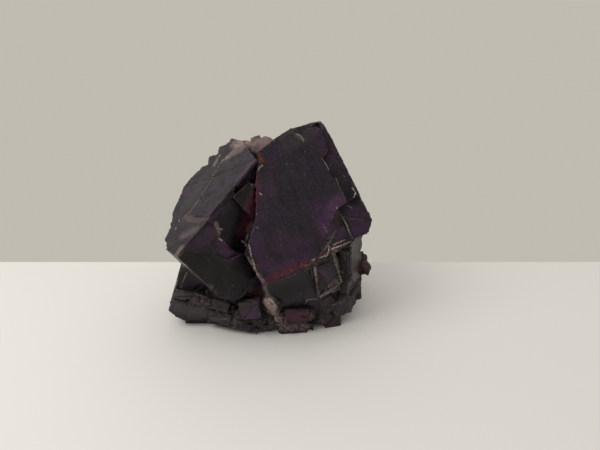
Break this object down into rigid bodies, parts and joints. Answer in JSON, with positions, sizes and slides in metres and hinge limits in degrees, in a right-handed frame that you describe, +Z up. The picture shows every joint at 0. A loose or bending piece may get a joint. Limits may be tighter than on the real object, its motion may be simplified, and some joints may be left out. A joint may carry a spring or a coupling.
{
  "type": "fluorite crystal cluster",
  "caption": "Loose cluster of intergrown dark purple fluorite cubes, a large tilted cube beside a slanting one, over smaller broken crystals, resting on a flat base.",
  "frame": {"origin": "middle of the cluster's bounding box, on the surface that it stands on", "axes": "+Z up, -Y towards the side shown in the picture, +X to that side's right"},
  "size_m": [0.0466, 0.0354, 0.0456],
  "materials": {
    "fluorite": "frosted, nearly opaque dark purple crystal"
  },
  "bodies": {
    "root": {"fluorite_cluster": "fluorite"}
  },
  "joints": []
}
